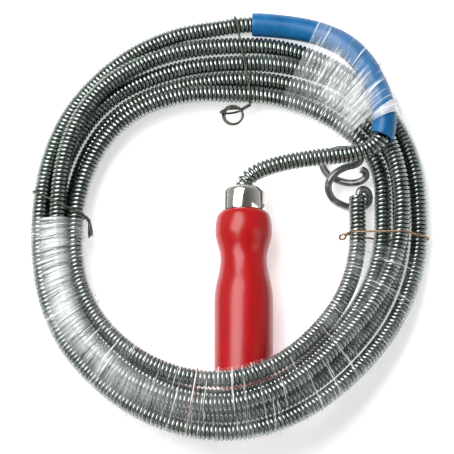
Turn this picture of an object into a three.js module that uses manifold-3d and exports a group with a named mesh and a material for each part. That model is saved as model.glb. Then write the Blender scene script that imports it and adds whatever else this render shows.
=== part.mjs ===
// A hand-cranked drain snake: a close-wound spring cable tied up in a coil, a bent crank arm with a
// turning wooden handle at one end, a corkscrew hook at the other, and a soft grip sleeve between.
// Millimetres, +Z up. The coil lies on the ground plane and is lifted over the handle's butt.
import * as THREE from 'three';
import { mergeVertices } from 'three/addons/utils/BufferGeometryUtils.js';
import Module from 'manifold-3d';

const wasm = await Module();
wasm.setup();

// Driving dimensions
const GAP = 0.3; // clearance between separate pieces
const CABLE_R = 4.5; // 9 mm cable
const BORE_R = 2.5; // the hollow inside the cable's turns
const FLOOR_Z = 5.2; // height of a strand's middle where it lies lowest
const LIFT = 22.8; // how far the handle's butt raises the bundle
const LIFT_AT = 274.6; // degrees round the coil
const LIFT_SPAN = 82; // degrees to either side over which the bundle comes down again
const SECTION_STEP = 9; // degrees
const OUTLINE_SIDES = 16; // sides of the bundle's cross-section
const COIL_START = 95; // degrees where the first turn joins the bundle
const TAIL_START = 339; // degrees where the free end leaves the bundle
const TAIL_END = 371; // degrees where the free end stops
const SLEEVE_R = 6;
const SLEEVE_BORE_R = 4.95;
const ROD_R = 2;
const ROD_SHORT = 3; // the rod ends this far before the sleeve's mouth
const HOOK_WIRE_R = 1.8;
const TIE_WIRE_R = 0.6;
const NECK_R = 0.9; // the ties' twisted necks
const NECK_ROOT = 0.3; // how deep a neck is rooted in its band
const TIE_SINK = 0.9; // a tie lies in the valleys between the cable's turns
const SLEEVE_MOUTH = 78; // along the cable from the ferrule
const SLEEVE_LENGTH = 108.5;
const FILM_CLEAR = 0.35;
const FILM_THICK = 0.3;
const FILM_LOW = 0.05; // no film lies lower than this
const COIL_FILM = [183, 350]; // degrees, from one end of the film to the other
const SLEEVE_FILM = [392, 427];
const PIE_R = 300;
const PIE_TALL = 200;
const HANDLE_X = 8.3;
const HANDLE_R = 14.7;
const BUTT_Y = -88;
const WOOD_TOP_Y = 2.6;
const FERRULE_TOP_Y = 15;
const FERRULE_R = 11.25;
const FERRULE_WALL = 0.65;
const FERRULE_ROUND = 3;
const FERRULE_HOLE_R = 3.2;
const TENON_R = FERRULE_R - FERRULE_WALL - GAP;
const HANDLE_BORE_R = 2.4; // turns on the rod
const BUTT_ROUND = 7;
const BUTT_POCKET_R = 6.2; // counterbore that hides the washer and the rod's peened end
const BUTT_POCKET = 4.8;
const BRAD_R = 0.7;
const BRAD_HEAD_R = 1.1;
const BRAD_TIP = 5.6; // the brad's point, out from the handle's axis
const BRAD_NECK = 11; // where its shank meets its head
const BRAD_OPEN = 14; // far enough out to cut a hole right through the wall
const HEAD_SEAT = 8; // far enough in to cut the head's hole through the ferrule only
const HEAD_PROUD = 0.1;
const HEAD_DEPTH = 0.6;
const PEEN = { wide: 3.4, narrow: 2.6, tall: 1.6, at: 2.2 }; // the rod's hammered end in the pocket
const WASHER = { bore: 2.35, radius: 5.6, thick: 1, at: 3.3 };
const BRAD_TURN = 1.08; // round from the top towards +X
const BRAD_Y = 5;
const FRAME_SHIFT = [-1, 5.5, 0]; // puts the origin under the middle of the outline

// Where the strands of the bundle lie. Strand 1 is the outermost turn, strand 5 the innermost; each
// has its radius from the coil's centre and its height above the lowest layer.
const STATIONS = [
  { at: 90, strands: [[101.4, 0], [91.9, 0], [82.6, 0], [73.6, 2], [65.4, 6]] },
  { at: 112, strands: [[99.9, 0], [91.6, 3.9], [83.4, 0], [74.4, 0.8], [68.4, 7.6]] },
  { at: 135, strands: [[97.5, 0], [92, 7.6], [87, 0], [77.8, 0], [72.9, 7.6]] },
  { at: 180, strands: [[93.6, 6.5], [84.9, 9.4], [87.5, 0], [78.3, 0], [75.7, 8.8]] },
  { at: 225, strands: [[104.4, 4.5], [95.6, 9.1], [96.6, 0], [87.4, 0], [84.4, 8.6]] },
  { at: 270, strands: [[113.8, 2.5], [100.8, 8], [105, 0], [95.2, 0], [87.9, 8]] },
  { at: 315, strands: [[100.8, 0], [86.3, 7.6], [91.5, 0], [81.2, 0], [73.4, 5.5]] },
  { at: 360, strands: [[96.3, 0], [87.4, 9.2], [87, 0], [78, 0], [65.2, 4.3]] },
  { at: 383, strands: [[98.5, 0], [90, 8.8], [89.7, 0], [80.9, 0], [69.5, 4.6]] },
  { at: 405, strands: [[98, 0], [91.8, 6.6], [84.6, 0], [75.4, 0]] },
  { at: 428, strands: [[95.5, 0], [86.7, 2.8], [77.9, 0], [69, 2.5]] },
];

// The cable's way from the handle to the bundle, point by point.
const ARM_ROUTE = [
  [8.3, 15.7, 14.7], [8.32, 17, 14.72], [9.1, 18.9, 14.95], [10.9, 20.7, 15.4], [13.3, 22.5, 16],
  [16.2, 24, 16.6], [19.6, 25.2, 17.3], [23, 26.2, 17.9], [31.3, 27.9, 19.2], [39.6, 29, 20.5],
  [47.9, 29.8, 21.8], [56.2, 30.3, 23], [64, 31.2, 24], [70.3, 33, 24.7], [75, 36.2, 25],
  [77.6, 40.2, 25],
];
const SLEEVE_ROUTE = [
  [78.5, 44.2, 25], [78.7, 49.2, 24.6], [78, 55.3, 23.5], [76.2, 62.6, 21.6],
  [73.5, 70, 19], [69.8, 78.2, 16], [64, 86.4, 12.6], [57, 92.7, 9.6], [49, 97, 7.6],
  [40.5, 99.8, 6.7], [31.5, 101.5, 6.3], [23, 102.5, 6.2], [15.5, 103, 6.2], [8, 102.9, 6.1],
  [0, 102, 5.5], [-8.4, 100.6, 5.2],
];
// The hook's wire comes out of the cable's bore, turns under it and winds two open loops.
const HOOK_ROUTE = [
  [65.9, 13.1, 9.6], [66, 14.2, 9.7], [66.9, 15.8, 9.7], [68.9, 16.3, 9], [70.7, 15, 7.8],
  [71.3, 12.6, 6], [70.5, 10.3, 4], [68.2, 8.9, 2.4], [63.5, 8.8, 2], [58, 9.7, 3.5],
  [53, 12.1, 6], [50.7, 16.3, 8.5], [51.3, 20.5, 10.5], [54.5, 24.3, 11.8], [59.5, 26.9, 12.6],
  [64.4, 28.3, 12.8], [66.8, 30.8, 12.2], [65.4, 34.2, 11], [62, 36.6, 9.5], [57.5, 37.6, 7.8],
  [53.5, 37.2, 6.4], [50, 35.7, 5.2], [47.8, 33, 4.2], [48.3, 29, 3.9], [51, 25.1, 4],
  [55.5, 22.4, 4.4], [61, 20.8, 5], [66.5, 21.2, 6], [69.5, 23.3, 7.2], [69.2, 25.6, 8.6],
  [67.2, 26.6, 9.6],
];
// The wire ties round the bundle: the angle, how far each slants from outside to inside, its twisted
// neck's length and lean from straight inwards, and its end rings. Each ring has a radius, a turn in
// radians from lying flat to standing up, and its own lean from the neck.
const TIES = [
  {
    name: 'tie_wire_top',
    at: 83.5,
    slant: 4.5,
    neck: 5.4,
    lean: -48,
    rings: [[4.6, 0.1, 6], [5.2, 1.5, -24]],
  },
  {
    name: 'tie_wire_left',
    at: 175.5,
    slant: -4,
    neck: 2.8,
    lean: -50,
    rings: [[4, 1.5, -39], [3.6, 1.7, -30]],
  },
  { name: 'tie_wire_right', at: 354.6, slant: 0.8, neck: 1.8, lean: 40, rings: [[1.6, 0.5, 0]] },
  { name: 'tie_wire_bottom', at: 260, slant: 0, neck: 0, lean: 0, rings: [] },
];
// The cable as it leaves the sleeve, where the top tie goes over it.
const UNDER_TOP_TIE = { r: 102.6, z: 5.9, radius: CABLE_R };

const rad = THREE.MathUtils.degToRad;

// Every strand's stations in one row, from the first turn to the free end.
const controls = [];
for (let turn = 0; turn < 5; turn += 1) {
  for (const station of STATIONS) {
    if (station.strands.length > turn) {
      controls.push({ a: station.at + 360 * turn, r: station.strands[turn][0], h: station.strands[turn][1] });
    }
  }
}

function liftAt(degrees) {
  const away = Math.abs(THREE.MathUtils.euclideanModulo(degrees - LIFT_AT + 180, 360) - 180);
  return away < LIFT_SPAN ? LIFT * 0.5 * (1 + Math.cos((Math.PI * away) / LIFT_SPAN)) : 0;
}

// The strand's radius and height at an angle counted on from turn to turn.
function strandAt(a) {
  let i = controls.findIndex((c) => c.a > a) - 1;
  i = i < 0 ? (a < controls[0].a ? 0 : controls.length - 2) : i;
  const [p0, p1, p2, p3] = [i - 1, i, i + 1, i + 2].map(
    (k) => controls[THREE.MathUtils.clamp(k, 0, controls.length - 1)],
  );
  const t = (a - p1.a) / (p2.a - p1.a);
  const value = (key) => {
    const slope1 = i > 0 ? (p2[key] - p0[key]) / (p2.a - p0.a) : (p2[key] - p1[key]) / (p2.a - p1.a);
    const slope2 = i + 2 < controls.length ? (p3[key] - p1[key]) / (p3.a - p1.a)
      : (p2[key] - p1[key]) / (p2.a - p1.a);
    const d = p2.a - p1.a;
    const t2 = t * t;
    const t3 = t2 * t;
    return (2 * t3 - 3 * t2 + 1) * p1[key] + (t3 - 2 * t2 + t) * d * slope1
      + (3 * t2 - 2 * t3) * p2[key] + (t3 - t2) * d * slope2;
  };
  return { r: value('r'), z: FLOOR_Z + Math.max(0, value('h')) + liftAt(a) };
}

function onCoil(degrees, r, z) {
  return new THREE.Vector3(r * Math.cos(rad(degrees)), r * Math.sin(rad(degrees)), z);
}

// The circles that the bundle holds where a plane through the coil's middle cuts it.
function strandsAt(degrees, count) {
  const circles = [];
  for (let turn = 0; turn < count; turn += 1) {
    circles.push({ ...strandAt(degrees + 360 * turn), radius: CABLE_R });
  }
  return circles;
}

// A closed outline round those circles, as points at even directions.
function wrapOutline(circles, offset, sides) {
  const outline = [];
  for (let k = 0; k < sides; k += 1) {
    const u = Math.cos((2 * Math.PI * (k + 0.5)) / sides);
    const v = Math.sin((2 * Math.PI * (k + 0.5)) / sides);
    let best = null;
    for (const c of circles) {
      const reach = c.r * u + c.z * v + c.radius;
      if (!best || reach > best.reach) best = { c, reach };
    }
    const size = best.c.radius + offset;
    outline.push([best.c.r + size * u, best.c.z + size * v]);
  }
  return outline;
}

// Booleans
function toSolid(geometry) {
  const bare = geometry.clone();
  bare.deleteAttribute('normal');
  bare.deleteAttribute('uv');
  const merged = mergeVertices(bare, 1e-4);
  const mesh = new wasm.Mesh({
    numProp: 3,
    vertProperties: new Float32Array(merged.attributes.position.array),
    triVerts: new Uint32Array(merged.index.array),
  });
  return new wasm.Manifold(mesh);
}

function toGeometry(solid) {
  const mesh = solid.getMesh();
  const geometry = new THREE.BufferGeometry();
  geometry.setAttribute('position', new THREE.BufferAttribute(new Float32Array(mesh.vertProperties), 3));
  geometry.setIndex(new THREE.BufferAttribute(new Uint32Array(mesh.triVerts), 1));
  geometry.computeVertexNormals();
  return geometry;
}

const join = (...geometries) => toGeometry(geometries.map(toSolid).reduce((a, b) => a.add(b)));
const cut = (first, ...rest) => toGeometry(rest.map(toSolid).reduce((a, b) => a.subtract(b), toSolid(first)));

// A disc or ring outline for extruding along a path.
function roundShape(radius, bore, sides) {
  const circle = (r) => Array.from({ length: sides }, (_, k) => {
    const a = (2 * Math.PI * k) / sides;
    return new THREE.Vector2(r * Math.cos(a), r * Math.sin(a));
  });
  const shape = new THREE.Shape(circle(radius));
  if (bore > 0) shape.holes.push(new THREE.Path(circle(bore).reverse()));
  return shape;
}

function tubeAlong(points, radius, bore, sides, steps) {
  const path = new THREE.CatmullRomCurve3(points.map((p) => (p.isVector3 ? p : new THREE.Vector3(...p))));
  path.arcLengthDivisions = 4 * points.length + 200;
  return new THREE.ExtrudeGeometry(roundShape(radius, bore, sides), {
    steps,
    extrudePath: path,
    bevelEnabled: false,
    curveSegments: 1,
  });
}

// A closed ring of wire through points that come back to where they start.
function closedTube(points, radius, sides) {
  const count = points.length;
  const geometry = new THREE.TorusGeometry(10, radius, sides, count);
  const position = geometry.attributes.position;
  const middle = points.reduce((sum, p) => sum.add(p), new THREE.Vector3()).divideScalar(count);
  const side = new THREE.Vector3();
  for (let i = 0; i < count; i += 1) {
    side.add(points[i].clone().sub(middle).cross(points[(i + 1) % count].clone().sub(middle)));
  }
  side.normalize();
  for (let j = 0; j <= sides; j += 1) {
    for (let i = 0; i <= count; i += 1) {
      const here = points[i % count];
      const ahead = points[(i + 1) % count].clone().sub(points[(i + count - 1) % count]).normalize();
      const out = ahead.clone().cross(side).normalize();
      const a = (2 * Math.PI * j) / sides;
      const p = here.clone().addScaledVector(out, radius * Math.cos(a));
      p.addScaledVector(side, radius * Math.sin(a));
      position.setXYZ(j * (count + 1) + i, p.x, p.y, p.z);
    }
  }
  return geometry;
}

// A ring or a stretch of skin swept round the coil, from a list of { degrees, outline }.
function sweptRing(sections) {
  const sides = sections[0].outline.length;
  const profile = Array.from({ length: sides + 1 }, (_, k) => {
    const a = (2 * Math.PI * (k % sides)) / sides;
    return new THREE.Vector2(100 + Math.cos(a), Math.sin(a));
  });
  const geometry = new THREE.LatheGeometry(profile, sections.length);
  const position = geometry.attributes.position;
  for (let i = 0; i <= sections.length; i += 1) {
    const { degrees, outline } = sections[i % sections.length];
    for (let k = 0; k <= sides; k += 1) {
      const p = onCoil(degrees, ...outline[k % sides]);
      position.setXYZ(i * (sides + 1) + k, p.x, p.y, p.z);
    }
  }
  return geometry;
}

// The angles at which the bundle is sectioned, close together where the free end leaves it.
function sectionAngles() {
  const angles = [];
  for (let a = COIL_START + 0.1; a < TAIL_START - 2; a += SECTION_STEP) angles.push(a);
  angles.push(TAIL_START - 0.1);
  for (let a = TAIL_START + 0.1; a < COIL_START + 358; a += SECTION_STEP) angles.push(a);
  angles.push(COIL_START + 359.9);
  return angles;
}

function coilBody() {
  return sweptRing(sectionAngles().map((degrees) => ({
    degrees,
    outline: wrapOutline(strandsAt(degrees, degrees < TAIL_START ? 5 : 4), 0, OUTLINE_SIDES),
  })));
}

// A wide slice of pie about the coil's middle, tall enough to cut right through the bundle.
function pie(from, to) {
  const steps = 24;
  const rim = Array.from({ length: steps + 1 }, (_, i) => {
    const a = rad(from + ((to - from) * i) / steps);
    return new THREE.Vector2(PIE_R * Math.cos(a), PIE_R * Math.sin(a));
  });
  const slice = new THREE.ExtrudeGeometry(new THREE.Shape([new THREE.Vector2(0, 0), ...rim]), {
    depth: PIE_TALL,
    bevelEnabled: false,
  });
  return slice.translate(0, 0, -PIE_TALL / 2);
}

// Film: a skin with two faces round the bundle and what else it wraps, open at both ends.
function filmSkin(from, to, circlesAt, around = () => []) {
  const outer = FILM_CLEAR + FILM_THICK;
  const raised = (outline, low) => outline.map(([r, z]) => [r, Math.max(z, low)]);
  const skin = (offset, circles) => sweptRing(sectionAngles().map((degrees) => ({
    degrees,
    outline: raised(wrapOutline(circles(degrees), offset, OUTLINE_SIDES), FILM_LOW + outer - offset),
  })));
  const bundle = (degrees) => strandsAt(degrees, degrees < TAIL_START ? 5 : 4);
  return cut(
    join(skin(outer, circlesAt), skin(outer, bundle), ...around(outer)),
    join(skin(FILM_CLEAR, circlesAt), skin(FILM_CLEAR, bundle), ...around(FILM_CLEAR)),
    pie(to, from + 360),
  );
}

// The cable's whole way from the handle to the bundle, and a stretch of it by its share of the length.
const wholeRoute = new THREE.CatmullRomCurve3(
  [...ARM_ROUTE, ...SLEEVE_ROUTE].map((p) => new THREE.Vector3(...p)),
);
wholeRoute.arcLengthDivisions = 600;
const ROUTE_LENGTH = wholeRoute.getLength();

function stretch(from, to) {
  const pieces = Math.ceil((to - from) / 0.5);
  const points = [];
  for (let i = 0; i <= pieces; i += 1) {
    const share = (from + ((to - from) * i) / pieces) / ROUTE_LENGTH;
    points.push(wholeRoute.getPointAt(Math.min(1, share)));
  }
  return points;
}

// A circle round what the plane at an angle cuts out of the sleeve, wider where the sleeve runs askew.
function sleeveAt(degrees) {
  const points = stretch(SLEEVE_MOUTH, ROUTE_LENGTH);
  const miss = (p) => Math.abs(THREE.MathUtils.radToDeg(Math.atan2(p.y, p.x)) + 360 - degrees);
  const nearest = points.reduce((best, p) => (miss(p) < miss(best) ? p : best), points[0]);
  const i = Math.max(1, points.indexOf(nearest));
  const along = points[i].clone().sub(points[i - 1]).normalize();
  const round = onCoil(degrees + 90, 1, 0);
  const skew = 1 / along.dot(round);
  return { r: Math.hypot(nearest.x, nearest.y), z: nearest.z, radius: SLEEVE_R * skew };
}

// The bundle's circles, with the sleeve's among them where its film goes round both.
function withSleeve(degrees) {
  const near = degrees > SLEEVE_FILM[0] - SECTION_STEP && degrees < SLEEVE_FILM[1] + SECTION_STEP;
  return near ? [...strandsAt(degrees, 4), sleeveAt(degrees)] : strandsAt(degrees, 4);
}

// Wire ties: the outline is what the bundle has at the tie's angle, pressed in a little.
function tieOutline(tie) {
  const circles = strandsAt(tie.at < COIL_START ? tie.at + 360 : tie.at, 4);
  if (tie.at < COIL_START) circles.push(UNDER_TOP_TIE);
  else circles.push({ ...strandAt(tie.at + 360 * 4), radius: CABLE_R });
  return wrapOutline(circles, -TIE_SINK, 24);
}

function tieBand(tie, wireR) {
  const outline = tieOutline(tie);
  const radii = outline.map((p) => p[0]);
  const mid = (Math.max(...radii) + Math.min(...radii)) / 2;
  const half = (Math.max(...radii) - Math.min(...radii)) / 2;
  return closedTube(
    outline.map(([r, z]) => onCoil(tie.at + (tie.slant * (r - mid)) / half, r, z)),
    wireR,
    6,
  );
}

const UP = new THREE.Vector3(0, 0, 1);

// A ring of wire that hangs from a point, turned about the way it points.
function endRing(tip, pointing, radius, turn) {
  const across = pointing.clone().cross(UP);
  const normal = UP.clone().multiplyScalar(Math.cos(turn)).addScaledVector(across, Math.sin(turn));
  const ring = new THREE.TorusGeometry(radius, TIE_WIRE_R, 5, 14);
  ring.applyQuaternion(new THREE.Quaternion().setFromUnitVectors(UP, normal));
  const middle = tip.clone().addScaledVector(pointing, radius);
  ring.translate(middle.x, middle.y, middle.z);
  return ring;
}

function tieInnerPoint(tie) {
  const outline = tieOutline(tie);
  return outline.reduce((best, p) => (p[0] < best[0] ? p : best), outline[0]);
}

// Where a tie's twisted neck starts, on the inner side of the bundle, and the way it points.
function tieNeck(tie) {
  const inner = onCoil(tie.at - tie.slant, ...tieInnerPoint(tie));
  const inward = new THREE.Vector3(-inner.x, -inner.y, 0).normalize();
  const pointing = inward.clone().applyAxisAngle(UP, rad(tie.lean));
  const tip = inner.clone().addScaledVector(pointing, tie.neck);
  return { start: inner.addScaledVector(inward, -NECK_ROOT), tip, pointing };
}

function tieWire(tie) {
  const band = tieBand(tie, TIE_WIRE_R);
  if (tie.rings.length === 0) return band;
  const { start, tip, pointing } = tieNeck(tie);
  const rings = tie.rings.map(([radius, turn, lean]) => (
    endRing(tip, pointing.clone().applyAxisAngle(UP, rad(lean)), radius, turn)
  ));
  return join(band, tubeAlong([start, tip], NECK_R, 0, 8, 1), ...rings);
}

// The room that the ties take out of whatever they bind.
function tieRooms() {
  const bands = TIES.map((tie) => tieBand(tie, TIE_WIRE_R + GAP));
  const necks = TIES.filter((tie) => tie.rings.length > 0).map((tie) => {
    const { start, tip } = tieNeck(tie);
    return tubeAlong([start, tip], NECK_R + GAP, 0, 8, 1);
  });
  return [...bands, ...necks];
}

// Handle
function lathe(profile, segments) {
  return new THREE.LatheGeometry(profile.map((p) => new THREE.Vector2(...p)), segments);
}

// A pin pointing away from the handle's axis, at the brad's place.
function bradPin(radius, from, to, sides) {
  const pin = new THREE.CylinderGeometry(radius, radius, to - from, sides);
  pin.translate(0, (from + to) / 2, 0);
  pin.rotateX(Math.PI / 2);
  pin.rotateY(BRAD_TURN);
  pin.translate(0, BRAD_Y, 0);
  return pin;
}

function handleGrip() {
  const profile = [
    [HANDLE_BORE_R, BUTT_Y + BUTT_POCKET],
    [BUTT_POCKET_R, BUTT_Y + BUTT_POCKET],
    [BUTT_POCKET_R, BUTT_Y],
    [HANDLE_R - BUTT_ROUND, BUTT_Y],
    [HANDLE_R - BUTT_ROUND * 0.62, BUTT_Y + BUTT_ROUND * 0.08],
    [HANDLE_R - BUTT_ROUND * 0.29, BUTT_Y + BUTT_ROUND * 0.29],
    [HANDLE_R - BUTT_ROUND * 0.08, BUTT_Y + BUTT_ROUND * 0.62],
    [HANDLE_R, BUTT_Y + BUTT_ROUND],
    [HANDLE_R, -46],
    [14.5, -40],
    [13.9, -35],
    [12.8, -30],
    [11.9, -25],
    [11.6, -20.5],
    [12.2, -16.5],
    [13.2, -13],
    [14, -9.5],
    [14.2, -6],
    [13.9, -2.5],
    [13.3, 0.3],
    [12.6, 1.6],
    [FERRULE_R, WOOD_TOP_Y],
    [TENON_R, WOOD_TOP_Y],
    [TENON_R, FERRULE_TOP_Y - FERRULE_ROUND],
    [TENON_R - 2, FERRULE_TOP_Y - FERRULE_WALL - GAP],
    [HANDLE_BORE_R, FERRULE_TOP_Y - FERRULE_WALL - GAP],
    [HANDLE_BORE_R, BUTT_Y + BUTT_POCKET],
  ];
  return cut(lathe(profile, 24), bradPin(BRAD_R + GAP, BRAD_TIP - GAP, BRAD_OPEN, 8));
}

function ferrule() {
  const outer = FERRULE_R;
  const inner = FERRULE_R - FERRULE_WALL;
  const low = WOOD_TOP_Y + GAP;
  const profile = [
    [inner, low],
    [outer, low],
    [outer, FERRULE_TOP_Y - FERRULE_ROUND],
    [outer - FERRULE_ROUND * 0.29, FERRULE_TOP_Y - FERRULE_ROUND * 0.29],
    [outer - FERRULE_ROUND, FERRULE_TOP_Y],
    [FERRULE_HOLE_R, FERRULE_TOP_Y],
    [FERRULE_HOLE_R, FERRULE_TOP_Y - FERRULE_WALL],
    [outer - FERRULE_ROUND, FERRULE_TOP_Y - FERRULE_WALL],
    [inner, FERRULE_TOP_Y - FERRULE_ROUND],
    [inner, low],
  ];
  return cut(lathe(profile, 24), bradPin(BRAD_HEAD_R + GAP, HEAD_SEAT, BRAD_OPEN, 10));
}

function brad() {
  const shank = bradPin(BRAD_R, BRAD_TIP, BRAD_NECK, 8);
  return join(shank, bradPin(BRAD_HEAD_R, FERRULE_R - HEAD_DEPTH, FERRULE_R + HEAD_PROUD, 10));
}

// The rod runs through the handle, follows the arm and ends just before the sleeve.
function crankRod() {
  const straight = [BUTT_Y + PEEN.at + 0.2, -40, 0].map((y) => [HANDLE_X, y, HANDLE_R]);
  const bent = stretch(1, SLEEVE_MOUTH - ROD_SHORT).map((p) => p.toArray());
  const rod = tubeAlong([...straight, ...bent], ROD_R, 0, 8, 44);
  const head = new THREE.CylinderGeometry(PEEN.wide, PEEN.narrow, PEEN.tall, 16);
  head.rotateX(Math.PI);
  head.translate(HANDLE_X, BUTT_Y + PEEN.at, HANDLE_R);
  return join(rod, head);
}

function buttWasher() {
  const { bore, radius, thick } = WASHER;
  const low = BUTT_Y + WASHER.at;
  return lathe([[bore, low], [radius, low], [radius, low + thick], [bore, low + thick], [bore, low]], 24);
}

// The assembly
const COLOURS = {
  steel: { color: 0x59605c, metalness: 0.9, roughness: 0.35 },
  bright: { color: 0xd6d2c4, metalness: 1, roughness: 0.15 },
  tie: { color: 0x8a7460, metalness: 0.8, roughness: 0.4 },
  lacquer: { color: 0xc81c20, metalness: 0, roughness: 0.25 },
  vinyl: { color: 0x145fa0, metalness: 0, roughness: 0.3 },
  film: { color: 0xf2f6f8, metalness: 0, roughness: 0.15, transparent: true, opacity: 0.3 },
};

function named(name, geometry, finish, place = [0, 0, 0]) {
  const mesh = new THREE.Mesh(geometry, new THREE.MeshStandardMaterial(COLOURS[finish]));
  mesh.name = name;
  mesh.position.set(...place);
  return mesh;
}

const strandPoint = (a) => {
  const { r, z } = strandAt(a);
  return onCoil(a, r, z);
};

// The cable's run through the sleeve, from the arm's end to the bundle's face.
function sleeveRun() {
  const points = stretch(SLEEVE_MOUTH + GAP, ROUTE_LENGTH);
  return cut(tubeAlong(points, CABLE_R, 0, 12, 26), ...tieRooms());
}

function gripSleeve(radius, bore) {
  return tubeAlong(stretch(SLEEVE_MOUTH, SLEEVE_MOUTH + SLEEVE_LENGTH), radius, bore, 14, 21);
}

const sleeveWithRoom = (room) => [gripSleeve(SLEEVE_R + room, 0)];

// The bundle's circles, with the free end's among them as far as its film reaches.
const withFreeEnd = (degrees) => strandsAt(degrees, degrees < COIL_FILM[1] + SECTION_STEP ? 5 : 4);

// The free end sets off square to the bundle's face.
function freeEnd() {
  const first = strandAt(TAIL_START + 360 * 4);
  const points = [0.45, 0.95].map((a) => onCoil(TAIL_START + a, first.r, first.z));
  for (let a = TAIL_START + 5; a < TAIL_END - 2; a += 4) points.push(strandPoint(a + 360 * 4));
  points.push(strandPoint(TAIL_END + 360 * 4));
  return cut(tubeAlong(points, CABLE_R, 0, 12, 8), ...tieRooms());
}

const handle = new THREE.Group();
handle.position.set(HANDLE_X, 0, HANDLE_R);
handle.add(
  named('handle_grip', handleGrip(), 'lacquer'),
  named('ferrule', ferrule(), 'bright'),
  named('ferrule_brad', brad(), 'steel'),
);

const snake = new THREE.Group();
snake.position.set(...FRAME_SHIFT);
snake.add(
  handle,
  named('butt_washer', buttWasher(), 'steel', [HANDLE_X, 0, HANDLE_R]),
  named('crank_rod', crankRod(), 'steel'),
  named('cable_crank_arm', tubeAlong(stretch(0, SLEEVE_MOUTH), CABLE_R, BORE_R, 12, 24), 'steel'),
  named('cable_sleeve_run', sleeveRun(), 'steel'),
  named('cable_coil', cut(coilBody(), ...tieRooms()), 'steel'),
  named('cable_free_end', freeEnd(), 'steel'),
  named('corkscrew_hook', tubeAlong(HOOK_ROUTE, HOOK_WIRE_R, 0, 7, 50), 'steel'),
  named('grip_sleeve', gripSleeve(SLEEVE_R, SLEEVE_BORE_R), 'vinyl'),
  named('wrap_film_coil', filmSkin(...COIL_FILM, withFreeEnd), 'film'),
  named('wrap_film_sleeve', filmSkin(...SLEEVE_FILM, withSleeve, sleeveWithRoom), 'film'),
);
TIES.forEach((tie) => snake.add(named(tie.name, tieWire(tie), 'tie')));

export default snake;
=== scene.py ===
# %% [markdown]
# # A drain snake, tied up for the shelf
# This lesson dresses a imported CAD model of a hand-cranked drain snake. The real tool is a long
# spring of hard steel wire. One end is bent into a crank with a turning wooden handle, the other
# carries a corkscrew hook, and the rest is wound in a ring, tied with wire and wrapped in film.
# The CAD gives every size and place. Blender adds the wire, the lacquer, the film and the light.
# We start by loading the CAD as a frame.

# %% The frame
import math
import bpy
import bmesh
import numpy as np
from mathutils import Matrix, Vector, noise


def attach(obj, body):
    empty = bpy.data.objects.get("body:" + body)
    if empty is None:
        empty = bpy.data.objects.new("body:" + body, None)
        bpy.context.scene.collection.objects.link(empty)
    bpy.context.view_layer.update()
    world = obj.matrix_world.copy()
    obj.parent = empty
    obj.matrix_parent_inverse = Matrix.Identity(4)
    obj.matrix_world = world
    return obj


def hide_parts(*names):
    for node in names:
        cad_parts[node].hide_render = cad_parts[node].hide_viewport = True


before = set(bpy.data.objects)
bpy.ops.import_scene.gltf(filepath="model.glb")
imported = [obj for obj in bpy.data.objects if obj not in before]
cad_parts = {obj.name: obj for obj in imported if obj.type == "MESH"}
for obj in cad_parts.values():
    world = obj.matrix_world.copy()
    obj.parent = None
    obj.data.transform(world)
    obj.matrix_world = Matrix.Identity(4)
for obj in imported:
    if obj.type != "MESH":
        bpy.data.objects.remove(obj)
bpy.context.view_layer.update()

# %% [markdown]
# ## The camera
# The tool lies on a table and we look down at it steeply, at 75 degrees above the table. A long
# lens from far away keeps the ring round: a wide lens from near would swell what stands highest.
# It aims a little this side of the ring's middle, where the middle of the whole tool appears. The
# camera comes first, so that everything after it can be judged in the picture that counts.

# %% Camera
RING_MIDDLE = Vector((-0.001, 0.0055, 0.0))
AIM = RING_MIDDLE - Vector((0, 0.0007, 0))
PICTURE_WIDTH = 0.2275
CAMERA_DISTANCE = 4.0
CAMERA_RISE = math.radians(75)
camera_data = bpy.data.cameras.new("camera")
camera = bpy.data.objects.new("camera", camera_data)
bpy.context.scene.collection.objects.link(camera)
back = Vector((0, -math.cos(CAMERA_RISE), math.sin(CAMERA_RISE)))
camera.location = AIM + back * CAMERA_DISTANCE
camera.rotation_euler = (math.pi / 2 - CAMERA_RISE, 0, 0)
camera_data.sensor_width = 36
camera_data.lens = 36 * CAMERA_DISTANCE / PICTURE_WIDTH
bpy.context.scene.camera = camera
print("lens", round(camera_data.lens), "mm")

# %% [markdown]
# ## Smooth lines
# Cable, sleeve, hook and ties are all something round that follows a line. A curve through a few
# given points can be made in several ways. This one gives each stretch its own pace, by the
# square root of its length, which keeps it from looping where the points lie close together.

# %% A smooth line through points
def curve_through(points, per_stretch=24):
    """Dense points on one smooth line through the given ones."""
    given = [np.array(point, float) for point in points]
    given = [2 * given[0] - given[1]] + given + [2 * given[-1] - given[-2]]
    line = []
    share = np.arange(per_stretch)[:, None] / per_stretch
    for before, start, end, after in zip(given, given[1:], given[2:], given[3:]):
        pace = [math.sqrt(np.linalg.norm(b - a)) for a, b in ((before, start), (start, end), (end, after))]
        slope = (start - before) / pace[0] - (end - before) / (pace[0] + pace[1]) + (end - start) / pace[1]
        leave = slope * pace[1]
        slope = (end - start) / pace[1] - (after - start) / (pace[1] + pace[2]) + (after - end) / pace[2]
        arrive = slope * pace[1]
        square = share**2
        cube = share**3
        bend = 3 * (end - start) - 2 * leave - arrive
        twist = 2 * (start - end) + leave + arrive
        line.append(start + share * leave + square * bend + cube * twist)
    line.append(given[-2][None, :])
    return np.concatenate(line)


def lengths_along(line):
    """How far along the line each of its points lies."""
    return np.concatenate([[0], np.cumsum(np.linalg.norm(np.diff(line, axis=0), axis=1))])


def sample(line, at, where):
    """The line's values at given distances along it."""
    return np.stack([np.interp(where, at, line[:, axis]) for axis in range(line.shape[1])], axis=1)


def part_of(line, start, end, step=0.0005):
    """The stretch of a line between two distances along it, in even steps."""
    at = lengths_along(line)
    count = int(math.ceil((end - start) / step))
    return sample(line, at, np.linspace(start, end, count + 1))
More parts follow.
